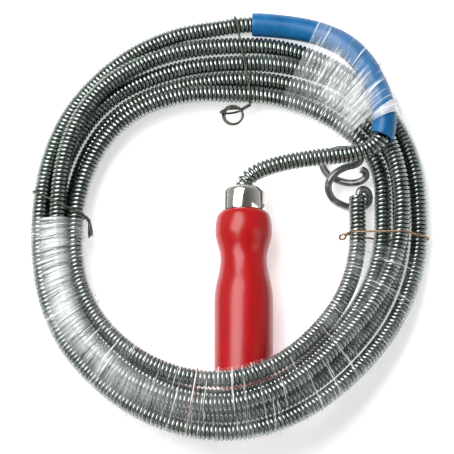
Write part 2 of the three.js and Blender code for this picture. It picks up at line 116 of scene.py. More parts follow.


# %% [markdown]
# ## The cable's way
# The cable leaves the ferrule on top of the handle, bends sharply to the right and runs out as the
# crank arm. At the arm's end it turns up into the blue sleeve, which leads it over the ring to the
# outside. These are the same points as in the CAD, here in metres. The ring's middle is
# not quite under the middle of the whole outline, so everything moves over by RING_MIDDLE.

# %% From the handle into the ring
ARM_ROUTE = [
    (0.0083, 0.0157, 0.0147), (0.00832, 0.017, 0.01472), (0.0091, 0.0189, 0.01495),
    (0.0109, 0.0207, 0.0154), (0.0133, 0.0225, 0.016), (0.0162, 0.024, 0.0166),
    (0.0196, 0.0252, 0.0173), (0.023, 0.0262, 0.0179), (0.0313, 0.0279, 0.0192),
    (0.0396, 0.029, 0.0205), (0.0479, 0.0298, 0.0218), (0.0562, 0.0303, 0.023), (0.064, 0.0312, 0.024),
    (0.0703, 0.033, 0.0247), (0.075, 0.0362, 0.025), (0.0776, 0.0402, 0.025),
]
SLEEVE_ROUTE = [
    (0.0785, 0.0442, 0.025), (0.0787, 0.0492, 0.0246), (0.078, 0.0553, 0.0235),
    (0.0762, 0.0626, 0.0216), (0.0735, 0.07, 0.019), (0.0698, 0.0782, 0.016), (0.064, 0.0864, 0.0126),
    (0.057, 0.0927, 0.0096), (0.049, 0.097, 0.0076), (0.0405, 0.0998, 0.0067), (0.0315, 0.1015, 0.0063),
    (0.023, 0.1025, 0.0062), (0.0155, 0.103, 0.0062), (0.008, 0.1029, 0.0061), (0, 0.102, 0.0055),
    (-0.0084, 0.1006, 0.0052),
]
route = curve_through(ARM_ROUTE + SLEEVE_ROUTE)
ROUTE_LENGTH = lengths_along(route)[-1]
SLEEVE_MOUTH = 0.078
SLEEVE_LENGTH = 0.1085
print("from the ferrule to the ring", round(ROUTE_LENGTH, 4), "m")

# %% [markdown]
# ## The ring
# Nearly five turns make the ring. They don't lie in neat rows: strands climb over each other, and
# the handle's butt lifts them all. So at ten places round the ring we say how far out and how high
# each strand lies, outermost first, and the turns come from a loop that runs on through them.

# %% Where the strands lie
STRAND_PLACES = [
    (90, [(0.1014, 0), (0.0919, 0), (0.0826, 0), (0.0736, 0.002), (0.0654, 0.006)]),
    (112, [(0.0999, 0), (0.0916, 0.0039), (0.0834, 0), (0.0744, 0.0008), (0.0684, 0.0076)]),
    (135, [(0.0975, 0), (0.092, 0.0076), (0.087, 0), (0.0778, 0), (0.0729, 0.0076)]),
    (180, [(0.0936, 0.0065), (0.0849, 0.0094), (0.0875, 0), (0.0783, 0), (0.0757, 0.0088)]),
    (225, [(0.1044, 0.0045), (0.0956, 0.0091), (0.0966, 0), (0.0874, 0), (0.0844, 0.0086)]),
    (270, [(0.1138, 0.0025), (0.1008, 0.008), (0.105, 0), (0.0952, 0), (0.0879, 0.008)]),
    (315, [(0.1008, 0), (0.0863, 0.0076), (0.0915, 0), (0.0812, 0), (0.0734, 0.0055)]),
    (360, [(0.0963, 0), (0.0874, 0.0092), (0.087, 0), (0.078, 0), (0.0652, 0.0043)]),
    (383, [(0.0985, 0), (0.09, 0.0088), (0.0897, 0), (0.0809, 0), (0.0695, 0.0046)]),
    (405, [(0.098, 0), (0.0918, 0.0066), (0.0846, 0), (0.0754, 0)]),
    (428, [(0.0955, 0), (0.0867, 0.0028), (0.0779, 0), (0.069, 0.0025)]),
]
TURNS = 5
LOWEST_MIDDLE = 0.0052
LIFT = 0.0228
LIFT_AT = 274.6
LIFT_SPAN = 82
controls = sorted(
    (angle + 360 * turn, *strands[turn])
    for turn in range(TURNS)
    for angle, strands in STRAND_PLACES
    if len(strands) > turn
)
print(len(controls), "places along the ring")


# %% A strand's radius and height at any angle
def lift_at(degrees):
    """How far the handle's butt raises the bundle here."""
    away = abs((degrees - LIFT_AT + 180) % 360 - 180)
    return LIFT * 0.5 * (1 + math.cos(math.pi * away / LIFT_SPAN)) if away < LIFT_SPAN else 0


def strand_at(degrees):
    """(distance from the ring's middle, height) of the cable, with angles counted on from turn to turn."""
    last = len(controls) - 1
    i = min(max(sum(c[0] <= degrees for c in controls) - 1, 0), last - 1)
    near = [controls[min(max(k, 0), last)] for k in (i - 1, i, i + 1, i + 2)]
    span = near[2][0] - near[1][0]
    t = (degrees - near[1][0]) / span
    found = []
    for key in (1, 2):
        chord = (near[2][key] - near[1][key]) / span
        leave = (near[2][key] - near[0][key]) / (near[2][0] - near[0][0]) if i > 0 else chord
        arrive = (near[3][key] - near[1][key]) / (near[3][0] - near[1][0]) if i + 2 <= last else chord
        value = (2 * t**3 - 3 * t**2 + 1) * near[1][key] + (t**3 - 2 * t**2 + t) * span * leave
        value += (3 * t**2 - 2 * t**3) * near[2][key] + (t**3 - t**2) * span * arrive
        found.append(value)
    return found[0], LOWEST_MIDDLE + max(0, found[1]) + lift_at(degrees)


def on_ring(degrees, out, height):
    """The point at an angle round the ring, so far out and so high."""
    turn = math.radians(degrees)
    return out * math.cos(turn), out * math.sin(turn), height


def strand_point(degrees):
    return on_ring(degrees, *strand_at(degrees))


print("strand at 90 degrees", [round(value, 4) for value in strand_at(90)])

# %% [markdown]
# ## From a line to wire
# A spring's wire goes round the cable's line once for every turn. To know which way is out, the
# line carries a pair of directions with it that never spin of their own accord. Each point of the
# wire is then the line, plus a step out in a direction that turns once per pitch. The pitch may
# change along the line, because the turns of a sharply bent spring stand open on the outside.

# %% Directions carried along a line
def carried(line):
    """Three directions at each point of a line: along it and two across it, with no twist."""
    along = np.gradient(line, axis=0)
    along /= np.linalg.norm(along, axis=1)[:, None]
    across = np.empty_like(line)
    now = np.cross(along[0], (0.3, 0.2, 0.93))
    for i, ahead in enumerate(along):
        now = now - ahead * now.dot(ahead)
        now = now / np.linalg.norm(now)
        across[i] = now
    return along, across, np.cross(along, across)


def tube_rows(line, radius, sides):
    """Rings of points round a line. The radius is one number, or one for each point."""
    _, across, up = carried(line)
    turn = 2 * math.pi * np.arange(sides) / sides
    wide = np.broadcast_to(np.asarray(radius, float), (len(line),))[:, None, None]
    ring = np.cos(turn)[None, :, None] * across[:, None] + np.sin(turn)[None, :, None] * up[:, None]
    return line[:, None] + wide * ring


WIRE_RADIUS = 0.00104
CABLE_RADIUS = 0.0045
PITCH = 0.00215
WIRE_STEPS = 12
WIRE_SIDES = 6
WIRE_SHARP = 80


def spring_rows(line, pitches):
    """Rings of points round the wire of a spring that follows a line with even steps."""
    at = lengths_along(line)
    turns = np.concatenate([[0], np.cumsum(np.diff(at) / pitches[1:])])
    count = int(turns[-1] * WIRE_STEPS)
    turn = np.arange(count + 1) / WIRE_STEPS
    where = np.interp(turn, turns, at)
    along, across, up = (sample(part, at, where) for part in carried(line))
    angle = 2 * math.pi * turn[:, None]
    out = np.cos(angle) * across + np.sin(angle) * up
    middle = sample(line, at, where) + (CABLE_RADIUS - WIRE_RADIUS) * out
    spin = 2 * math.pi * (np.arange(WIRE_SIDES) + 0.5) / WIRE_SIDES
    ring = np.cos(spin)[None, :, None] * out[:, None] + np.sin(spin)[None, :, None] * along[:, None]
    return middle[:, None] + WIRE_RADIUS * ring


print("the wire is", round(2000 * WIRE_RADIUS, 2), "mm thick, wound every", 1000 * PITCH, "mm")


# %% [markdown]
# ## From rows of points to a mesh
# Everything here is a grid of points: rings round a tube, or a profile spun round an axis. One
# helper joins neighbours with four-sided faces, closes the ends where asked, and turns the faces
# to look outwards. Edges that bend more than a given angle stay sharp, and the rest shade smoothly.

# %% Mesh pieces
def mesh_piece(name, points, faces, body="snake", shift=RING_MIDDLE, sharp=40):
    """A named object from points and faces, riding on a CAD body."""
    mesh = bpy.data.meshes.new(name)
    mesh.from_pydata(points.tolist(), [], faces)
    work = bmesh.new()
    work.from_mesh(mesh)
    bmesh.ops.recalc_face_normals(work, faces=work.faces)
    bmesh.ops.translate(work, verts=work.verts, vec=shift)
    work.to_mesh(mesh)
    work.free()
    mesh.polygons.foreach_set("use_smooth", [True] * len(mesh.polygons))
    mesh.set_sharp_from_angle(angle=math.radians(sharp))
    piece = bpy.data.objects.new(name, mesh)
    bpy.context.scene.collection.objects.link(piece)
    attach(piece, body)
    return piece


def grid_faces(count, sides, first=0, round_columns=True, round_rows=False, ends=True):
    """Four-sided faces between neighbours in rows of points, with a lid on each open end."""
    index = first + np.arange(count * sides).reshape(count, sides)
    lids = [index[0, ::-1].tolist(), index[-1].tolist()] if ends else []
    if round_columns:
        index = np.hstack([index, index[:, :1]])
    if round_rows:
        index = np.vstack([index, index[:1]])
    quads = np.stack([index[:-1, :-1], index[:-1, 1:], index[1:, 1:], index[1:, :-1]], axis=-1)
    return quads.reshape(-1, 4).tolist() + lids


def rows_piece(name, rows, **options):
    """A closed tube-like piece from rings of points."""
    count, sides = rows.shape[:2]
    return mesh_piece(name, rows.reshape(-1, 3), grid_faces(count, sides), **options)


def joined_rows(name, shapes, **options):
    """One piece from several sets of rows; each is (rows, whether its rows close on themselves)."""
    points = []
    faces = []
    first = 0
    for rows, closed in shapes:
        count, sides = rows.shape[:2]
        points.append(rows.reshape(-1, 3))
        faces += grid_faces(count, sides, first, round_rows=closed, ends=not closed)
        first += count * sides
    return mesh_piece(name, np.concatenate(points), faces, **options)


# %% [markdown]
# ## The free cable
# From the sleeve's mouth to its tip, the cable is free: it bends, coils and uncoils. It is one
# real length of spring, so it is one piece here and stands for three plain CAD solids. We follow
# the sleeve's route to the ring, take the turns from the loop, and end where the hook begins.
# A true wire helix costs many faces, but nothing else gives the ribs their shine and shadow. Six
# sides round the wire are enough when the edges between them shade smoothly.

# %% The free cable's line
COIL_START = 95
TAIL_END = 371 + 360 * 4
TURN_STEP = 6
MOUTH_GAP = 0.0003
turn_points = [strand_point(angle) for angle in np.arange(COIL_START + 5, TAIL_END, TURN_STEP)]
ring_points = turn_points + [strand_point(TAIL_END)]
sleeve_way = part_of(route, SLEEVE_MOUTH + MOUTH_GAP, ROUTE_LENGTH, 0.004)
cable_curve = curve_through([tuple(point) for point in sleeve_way] + ring_points, 12)
CABLE_LENGTH = lengths_along(cable_curve)[-1]
cable_line = part_of(cable_curve, 0, CABLE_LENGTH)
print("free cable", round(CABLE_LENGTH, 3), "m")

# %% The free cable's wire
cable_rows = spring_rows(cable_line, np.full(len(cable_line), PITCH))
spring_cable = rows_piece("spring_cable", cable_rows, sharp=WIRE_SHARP)
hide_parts("cable_sleeve_run", "cable_coil", "cable_free_end")
print("spring_cable", len(spring_cable.data.polygons), "faces")

# %% [markdown]
# ## The corkscrew hook
# A thicker wire comes out of the cable's end, turns round under it and winds two open loops. It is
# what bites into a blockage. Each point is given in the list. Its cut end is flat, as nippers leave it.

# %% Hook
HOOK_WIRE_RADIUS = 0.0018
HOOK_ROUTE = [
    (0.0659, 0.0131, 0.0096), (0.066, 0.0142, 0.0097), (0.0669, 0.0158, 0.0097),
    (0.0689, 0.0163, 0.009), (0.0707, 0.015, 0.0078), (0.0713, 0.0126, 0.006), (0.0705, 0.0103, 0.004),
    (0.0682, 0.0089, 0.0024), (0.0635, 0.0088, 0.002), (0.058, 0.0097, 0.0035), (0.053, 0.0121, 0.006),
    (0.0507, 0.0163, 0.0085), (0.0513, 0.0205, 0.0105), (0.0545, 0.0243, 0.0118),
    (0.0595, 0.0269, 0.0126), (0.0644, 0.0283, 0.0128), (0.0668, 0.0308, 0.0122),
    (0.0654, 0.0342, 0.011), (0.062, 0.0366, 0.0095), (0.0575, 0.0376, 0.0078),
    (0.0535, 0.0372, 0.0064), (0.05, 0.0357, 0.0052), (0.0478, 0.033, 0.0042), (0.0483, 0.029, 0.0039),
    (0.051, 0.0251, 0.004), (0.0555, 0.0224, 0.0044), (0.061, 0.0208, 0.005), (0.0665, 0.0212, 0.006),
    (0.0695, 0.0233, 0.0072), (0.0692, 0.0256, 0.0086), (0.0672, 0.0266, 0.0096),
]
hook_curve = curve_through(HOOK_ROUTE, 8)
hook_line = part_of(hook_curve, 0, lengths_along(hook_curve)[-1], 0.0006)
hook_loops = rows_piece("hook_loops", tube_rows(hook_line, HOOK_WIRE_RADIUS, 14))
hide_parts("corkscrew_hook")
print("hook wire", round(lengths_along(hook_line)[-1], 3), "m")

# %% [markdown]

# %% [markdown]
# ## The crank arm
# The first stretch of the same spring is stiff, because a rod runs inside it. Where it leaves the
# ferrule it bends almost square, and its turns fan open on the outside of the bend. We let the
# pitch grow there and fall back again, so the same helper draws the fan.

# %% Crank arm
FAN_MIDDLE = 0.0065
FAN_REACH = 0.0075
FAN_OPENING = 0.25
arm_line = part_of(route, 0, SLEEVE_MOUTH)
from_fan = np.abs(lengths_along(arm_line) - FAN_MIDDLE)
fan = np.where(from_fan < FAN_REACH, 0.5 + 0.5 * np.cos(math.pi * from_fan / FAN_REACH), 0)
arm_rows = spring_rows(arm_line, PITCH * (1 + FAN_OPENING * fan))
arm_spring = rows_piece("arm_spring", arm_rows, sharp=WIRE_SHARP)
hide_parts("cable_crank_arm")
print("arm_spring", len(arm_spring.data.polygons), "faces")

# %% [markdown]
# ## The grip sleeve
# A length of blue plastic tube slips over the cable, for the other hand to hold while one cranks.
# It is cut off square. The wall shows at both ends, so the tube goes down the inside as well: one
# row of rings out, round the lip, and back through the bore.

# %% Sleeve
SLEEVE_RADIUS = 0.006
SLEEVE_BORE = 0.00495
LIP = 0.0003
sleeve_line = part_of(route, SLEEVE_MOUTH, SLEEVE_MOUTH + SLEEVE_LENGTH, 0.001)
lip_radii = np.full(len(sleeve_line), SLEEVE_RADIUS)
lip_radii[[0, -1]] = SLEEVE_RADIUS - LIP
SLEEVE_SIDES = 36
outside = tube_rows(sleeve_line, lip_radii, SLEEVE_SIDES)
inside = tube_rows(sleeve_line, SLEEVE_BORE, SLEEVE_SIDES)[::-1]
sleeve_rows = np.concatenate([outside, inside])
sleeve_faces = grid_faces(len(sleeve_rows), SLEEVE_SIDES, round_rows=True, ends=False)
sleeve_tube = mesh_piece("sleeve_tube", sleeve_rows.reshape(-1, 3), sleeve_faces)
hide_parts("grip_sleeve")
print("sleeve", round(lengths_along(sleeve_line)[-1], 3), "m long")

# %% [markdown]
# ## The handle
# The handle is turned on a lathe, and so is our mesh: a profile goes round an axis. The profile is
# a straight grip with a rounded butt, a waist for the thumb and a swelling under the ferrule. Only
# its own few radii are given, and the smooth-line helper draws the curve through them.

# %% The lathe
HANDLE_AXIS = Vector((0.0083, 0.0, 0.0147))
HANDLE_RADIUS = 0.0147
BUTT = -0.088
FERRULE_TOP = 0.015
FERRULE_RADIUS = 0.01125
BORE = 0.0024


def lathed(name, profile, body="handle", segments=72, sharp=35):
    """A closed profile of (radius, distance along +Y) turned round the handle's axis."""
    turn = 2 * math.pi * np.arange(segments) / segments
    outline = np.array(profile)
    rows = np.stack(
        [
            np.outer(np.sin(turn), outline[:, 0]),
            np.broadcast_to(outline[:, 1], (segments, len(outline))),
            np.outer(np.cos(turn), outline[:, 0]),
        ],
        axis=-1,
    )
    faces = grid_faces(segments, len(outline), round_rows=True, ends=False)
    shift = RING_MIDDLE + HANDLE_AXIS
    return mesh_piece(name, rows.reshape(-1, 3), faces, body=body, shift=shift, sharp=sharp)


def quarter(radius, out, along, start, steps=8):
    """Points on a quarter circle about (out, along), from an angle in degrees."""
    return [
        (out + radius * math.cos(math.radians(start + 90 * k / steps)),
         along + radius * math.sin(math.radians(start + 90 * k / steps)))
        for k in range(steps + 1)
    ]


print("handle axis at", [round(value, 4) for value in RING_MIDDLE + HANDLE_AXIS])

# %% Wood
BUTT_ROUND = 0.007
POCKET_RADIUS = 0.0062
POCKET_DEPTH = 0.0048
TENON_RADIUS = 0.0103
WOOD_TOP = 0.0026
TENON_TOP = 0.014
waist = [
    (0.0147, -0.06), (0.0147, -0.046), (0.0145, -0.04), (0.0139, -0.035), (0.0128, -0.03), (0.0119, -0.025),
    (0.0116, -0.0205), (0.0122, -0.0165), (0.0132, -0.013), (0.014, -0.0095), (0.0142, -0.006),
    (0.0139, -0.0025), (0.0133, 0.0003), (0.0126, 0.0016), (0.0113, WOOD_TOP),
]
pocket_floor = BUTT + POCKET_DEPTH
grip_profile = [(BORE, pocket_floor), (POCKET_RADIUS, pocket_floor), (POCKET_RADIUS, BUTT)]
grip_profile += quarter(BUTT_ROUND, HANDLE_RADIUS - BUTT_ROUND, BUTT + BUTT_ROUND, -90)
grip_profile += [tuple(point) for point in curve_through(waist, 4)]
grip_profile += [(TENON_RADIUS, WOOD_TOP), (TENON_RADIUS, TENON_TOP - 0.002)]
grip_profile += [(TENON_RADIUS - 0.002, TENON_TOP), (BORE, TENON_TOP)]
handle_wood = lathed("handle_wood", grip_profile)
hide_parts("handle_grip")
print("handle", len(grip_profile), "profile points")

# %% [markdown]
# ## Ferrule and brad
# A pressed metal cup closes the wood round the rod and stops it from splitting. Its top edge is
# well rounded, and a small nail, a brad, holds it. The brad's head is a shallow dome.

# %% Ferrule
CUP_WALL = 0.00065
CUP_ROUND = 0.003
CUP_FOOT = 0.0029
CUP_HOLE = 0.0032
cup_profile = [(FERRULE_RADIUS - CUP_WALL, CUP_FOOT), (FERRULE_RADIUS - 0.0001, CUP_FOOT)]
cup_profile += [(FERRULE_RADIUS, CUP_FOOT + 0.0003)]
cup_profile += quarter(CUP_ROUND, FERRULE_RADIUS - CUP_ROUND, FERRULE_TOP - CUP_ROUND, 0)
cup_profile += [(CUP_HOLE + 0.0002, FERRULE_TOP), (CUP_HOLE, FERRULE_TOP - 0.0002)]
cup_profile += [(CUP_HOLE, FERRULE_TOP - CUP_WALL)]
cup_inside = quarter(CUP_ROUND - CUP_WALL, FERRULE_RADIUS - CUP_ROUND, FERRULE_TOP - CUP_ROUND, 0)
cup_profile += cup_inside[::-1]
ferrule_cup = lathed("ferrule_cup", cup_profile, segments=96)
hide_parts("ferrule")
print("ferrule", round(2000 * FERRULE_RADIUS, 1), "mm across")

# %% Brad
BRAD_TURN = 1.08
BRAD_ALONG = 0.005
BRAD_SIDES = 24
dome = [(0.0004, 0.01171), (0.0008, 0.01158), (0.0011, 0.01135)]
dome += [(0.0011, 0.0109), (0.0006, 0.0108), (0.0006, 0.0085)]
around = 2 * math.pi * np.arange(BRAD_SIDES) / BRAD_SIDES
brad_rows = np.array(
    [[(r * math.cos(a), r * math.sin(a) + BRAD_ALONG, depth) for a in around] for r, depth in dome]
)
swing = np.array(
    [[math.cos(BRAD_TURN), 0, math.sin(BRAD_TURN)], [0, 1, 0], [-math.sin(BRAD_TURN), 0, math.cos(BRAD_TURN)]]
)
brad_rows = brad_rows @ swing.T
brad_head = rows_piece("brad_head", brad_rows, body="handle", shift=RING_MIDDLE + HANDLE_AXIS)
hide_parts("ferrule_brad")
print("brad", len(brad_head.data.polygons), "faces")

# %% [markdown]
# ## The wire ties
# Four soft wires hold the ring together. A tie pulled tight follows the outline of the bundle: the
# shape of a string stretched round a few circles. Looking in every direction in turn, the circle
# that reaches furthest that way carries the string. Joining those points gives the outline.
# Each tie below has its angle, its slant across the bundle, the length and lean of its twisted neck,
# and its end rings, each with a radius, a turn in radians from lying flat to standing up, and a lean.

# %% Round the bundle
def strands_here(degrees, count):
    """(distance out, height, radius) of the strands at an angle round the ring."""
    return [(*strand_at(degrees + 360 * turn), CABLE_RADIUS) for turn in range(count)]


def outline_round(circles, offset, sides):
    """Points of a string stretched round some circles, at even directions."""
    outline = []
    for k in range(sides):
        turn = 2 * math.pi * (k + 0.5) / sides
        u = math.cos(turn)
        v = math.sin(turn)
        out, height, radius = max(circles, key=lambda c: c[0] * u + c[1] * v + c[2])
        outline.append((out + (radius + offset) * u, height + (radius + offset) * v))
    return outline


TIE_WIRE = 0.00048
TIE_OFFSET = 0.0002
TIE_SIDES = 60
RING_SIDES = 40
NECK_TWIST = 5 * math.pi
UNDER_TOP_TIE = (0.1026, 0.0059, CABLE_RADIUS)
TIES = [
    ("top", 83.5, 4.5, 0.0054, -48, [(0.0046, 0.1, 6), (0.005, 0.05, 2), (0.0052, 1.5, -24)]),
    ("left", 175.5, -4, 0.0028, -50, [(0.004, 1.5, -39), (0.0036, 1.7, -30)]),
    ("right", 354.6, 0.8, 0.0018, 40, [(0.0016, 0.5, 0)]),
    ("bottom", 260, 0, 0, 0, []),
]
print("ties", [tie[0] for tie in TIES])


# %% Loops, necks and rings
def tie_loop(at, slant):
    """The tie's closed line round the bundle, as ring points, and its innermost point."""
    circles = strands_here(at + 360 if at < COIL_START else at, 4)
    circles.append(UNDER_TOP_TIE if at < COIL_START else (*strand_at(at + 1440), CABLE_RADIUS))
    outline = outline_round(circles, TIE_OFFSET, TIE_SIDES)
    outs = [point[0] for point in outline]
    middle = (max(outs) + min(outs)) / 2
    half = (max(outs) - min(outs)) / 2
    line = [on_ring(at + slant * (out - middle) / half, out, height) for out, height in outline]
    return np.array(line), np.array(line[int(np.argmin(outs))])


def closed_tube(line, radius, sides=10):
    """Rings of points round a line that comes back to its start, turned to lie in its own plane."""
    along = np.roll(line, -1, axis=0) - np.roll(line, 1, axis=0)
    along /= np.linalg.norm(along, axis=1)[:, None]
    middle = line.mean(axis=0)
    flat = np.cross(line - middle, np.roll(line, -1, axis=0) - middle).sum(axis=0)
    flat /= np.linalg.norm(flat)
    across = np.cross(along, flat)
    across /= np.linalg.norm(across, axis=1)[:, None]
    turn = 2 * math.pi * np.arange(sides) / sides
    ring = np.cos(turn)[None, :, None] * across[:, None] + np.sin(turn)[None, :, None] * flat
    return line[:, None] + radius * ring


def turned(direction, degrees):
    """A level direction, turned about the vertical."""
    c = math.cos(math.radians(degrees))
    s = math.sin(math.radians(degrees))
    return np.array((c * direction[0] - s * direction[1], s * direction[0] + c * direction[1], 0))


def end_ring(tip, inward, radius, turn):
    """A ring of wire that hangs from the neck's tip, and turns about the way the neck points."""
    sideways = np.cross(inward, (0, 0, 1))
    normal = np.array((0, 0, math.cos(turn))) + math.sin(turn) * sideways
    other = np.cross(normal, inward)
    spin = 2 * math.pi * np.arange(RING_SIDES)[:, None] / RING_SIDES
    middle = tip + radius * inward
    return middle + radius * (np.cos(spin) * inward + np.sin(spin) * other)


def neck_strand(inner, inward, length, phase):
    """One of the two wires that twist round each other in a tie's neck."""
    share = np.linspace(0, 1, 40)[:, None]
    angle = phase + share * NECK_TWIST
    sideways = np.cross(inward, (0, 0, 1))
    twist = np.cos(angle) * sideways + np.sin(angle) * np.array((0, 0, 1))
    return inner + inward * share * length + TIE_WIRE * 0.9 * twist


# %% Making the ties
for name, at, slant, neck, lean, rings in TIES:
    loop, inner = tie_loop(at, slant)
    shapes = [(closed_tube(loop, TIE_WIRE), True)]
    if rings:
        pointing = turned((-inner[0], -inner[1]) / np.hypot(inner[0], inner[1]), lean)
        for phase in (0, math.pi):
            shapes.append((tube_rows(neck_strand(inner, pointing, neck, phase), TIE_WIRE, 8), False))
        for radius, turn, ring_lean in rings:
            ring = end_ring(inner + pointing * neck, turned(pointing, ring_lean), radius, turn)
            shapes.append((closed_tube(ring, TIE_WIRE * 1.15), True))
    joined_rows("tie_" + name, shapes, sharp=60)
    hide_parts("tie_wire_" + name)

# %% [markdown]
# ## The film
# Two pieces of thin stretch film hold the ring: a long one round the lower left half, and a short
# one round the crossing of sleeve and ring. Film pulled tight follows the bundle's outline, as the
# ties do, and creases run across it wherever it had to narrow. A cloth simulation would take long
# to pull it this tight, so we shape it in code: an outline at each angle, pushed out by creases.
# Each sheet overlaps itself a little along its edge, and its two ends are ragged.

# %% Shaping film
FILM_STAND = 0.0009
FILM_OVERLAP = 1.06
FILM_COLUMNS = 110
FILM_STEP = 0.6
FILM_MARGIN = 3
OVERLAP_LIFT = 0.0004
CREASE = 0.0011
RAGGED = 2.2
LOWEST_FILM = 0.0003


def evenly_round(outline, count, overlap):
    """The closed outline again, with points at even distances, run on past its start."""
    closed = np.array(outline + [outline[0]])
    at = lengths_along(closed)
    where = (np.arange(count) / (count - 1) * overlap * at[-1]) % at[-1]
    return sample(closed, at, where), at[-1]


def film_sheet(name, start, end, circles_at, seed):
    """A crinkled sheet round the bundle from one angle to another, and its (width, length)."""
    angles = np.arange(start - FILM_MARGIN, end + FILM_MARGIN + FILM_STEP, FILM_STEP)
    outlines = []
    girths = []
    for angle in angles:
        tight = outline_round(circles_at(angle), FILM_STAND, 64)
        outline, girth = evenly_round(tight, FILM_COLUMNS, FILM_OVERLAP)
        outlines.append(outline)
        girths.append(girth)
    outlines = np.array(outlines)
    count = int((end - start) / FILM_STEP)
    points = np.zeros((count + 1, FILM_COLUMNS, 3))
    laid = np.zeros((count + 1, FILM_COLUMNS, 3))
    for k in range(FILM_COLUMNS):
        share = k / (FILM_COLUMNS - 1) * FILM_OVERLAP
        first = start + RAGGED * noise_at(3 * share, seed, 1)
        final = end + RAGGED * noise_at(3 * share, seed, 2)
        column = np.linspace(first, final, count + 1)
        out = np.interp(column, angles, outlines[:, k, 0])
        height = np.interp(column, angles, outlines[:, k, 1])
        inner = [np.interp(column, angles, outlines[:, :, axis].mean(axis=1)) for axis in (0, 1)]
        for i, angle in enumerate(column):
            away = np.array([out[i] - inner[0][i], height[i] - inner[1][i]])
            away /= np.linalg.norm(away)
            over = max(0, share - 1) / (FILM_OVERLAP - 1)
            push = CREASE * crease(angle, share, seed) + OVERLAP_LIFT * over
            low = max(LOWEST_FILM, height[i] + push * away[1])
            points[i, k] = on_ring(angle, out[i] + push * away[0], low)
            laid[i, k] = (math.radians(angle), share, seed)
    faces = grid_faces(count + 1, FILM_COLUMNS, round_columns=False, ends=False)
    sheet = mesh_piece(name, points.reshape(-1, 3), faces, sharp=180)
    attribute = sheet.data.attributes.new("laid", "FLOAT_VECTOR", "POINT")
    attribute.data.foreach_set("vector", laid.reshape(-1))
    length = float(np.linalg.norm(np.diff(points, axis=0), axis=2).sum(axis=0).mean())
    return sheet, (float(np.mean(girths)) * FILM_OVERLAP, length)


# %% Creases
RIDGE_NARROW = 2.4


def noise_at(x, y, z):
    """Smooth noise from -1 to 1."""
    return noise.noise(Vector((x, y, z)))


def crease(angle, share, seed):
    """How far film stands out here: sharp ridges across the bundle, fading along their length."""
    lean = angle + 9 * noise_at(2.2 * share, seed, 5)
    ridges = 1 - abs(noise_at(0.42 * lean, 1.6 * share, seed)) * RIDGE_NARROW
    fine = 1 - abs(noise_at(1.3 * lean, 3 * share, seed + 7)) * RIDGE_NARROW
    return 0.75 * max(0, ridges) ** 3 + 0.35 * max(0, fine) ** 3


print("a crease stands", round(1000 * CREASE, 1), "mm proud at most")


# %% [markdown]
# The sleeve stands above the ring where it crosses, so the short sheet has to go round it as well.
# Where the sleeve runs askew, what the film meets is wider than the sleeve itself.

# %% The two sheets
def sleeve_here(degrees):
    """A circle round the sleeve at this angle of the ring."""
    way = part_of(route, SLEEVE_MOUTH, ROUTE_LENGTH, 0.001)
    miss = np.abs(np.degrees(np.arctan2(way[:, 1], way[:, 0])) + 360 - degrees)
    i = max(1, int(np.argmin(miss)))
    along = (way[i] - way[i - 1]) / np.linalg.norm(way[i] - way[i - 1])
    turn = math.radians(degrees)
    askew = 1 / max(0.7, along[1] * math.cos(turn) - along[0] * math.sin(turn))
    return math.hypot(way[i][0], way[i][1]), way[i][2], SLEEVE_RADIUS * askew


film_ring, ring_cut = film_sheet("film_ring", 181, 349, lambda a: strands_here(a, 5), 1)
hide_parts("wrap_film_coil")
film_crossing, crossing_cut = film_sheet(
    "film_crossing", 392, 426, lambda a: strands_here(a, 4) + [sleeve_here(a)], 4
)
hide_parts("wrap_film_sleeve")
for sheet, cut in ((film_ring, ring_cut), (film_crossing, crossing_cut)):
    print(sheet.name, "cut", [round(value, 3) for value in cut])

# %% [markdown]
# ## Finishes
# Each finish is a small node tree on the Principled shader. They share one idea: noise at the size
# of the real marks drives colour, roughness and a little relief, so that no surface is one flat
# value. The sizes are given as marks per metre, because the noise reads the object's own space.

# %% A finish from noise
def new_finish(name):
    """An empty material with its shader, and a maker for its other nodes."""
    material = bpy.data.materials.new(name)
    material.use_nodes = True
    tree = material.node_tree
    shader = tree.nodes["Principled BSDF"]

    def node(kind, settings=(), **values):
        made = tree.nodes.new(kind)
        for key, value in dict(settings).items():
            setattr(made, key, value)
        for key, value in values.items():
            made.inputs[key.replace("_", " ")].default_value = value
        return made

    return material, tree.links.new, shader, node


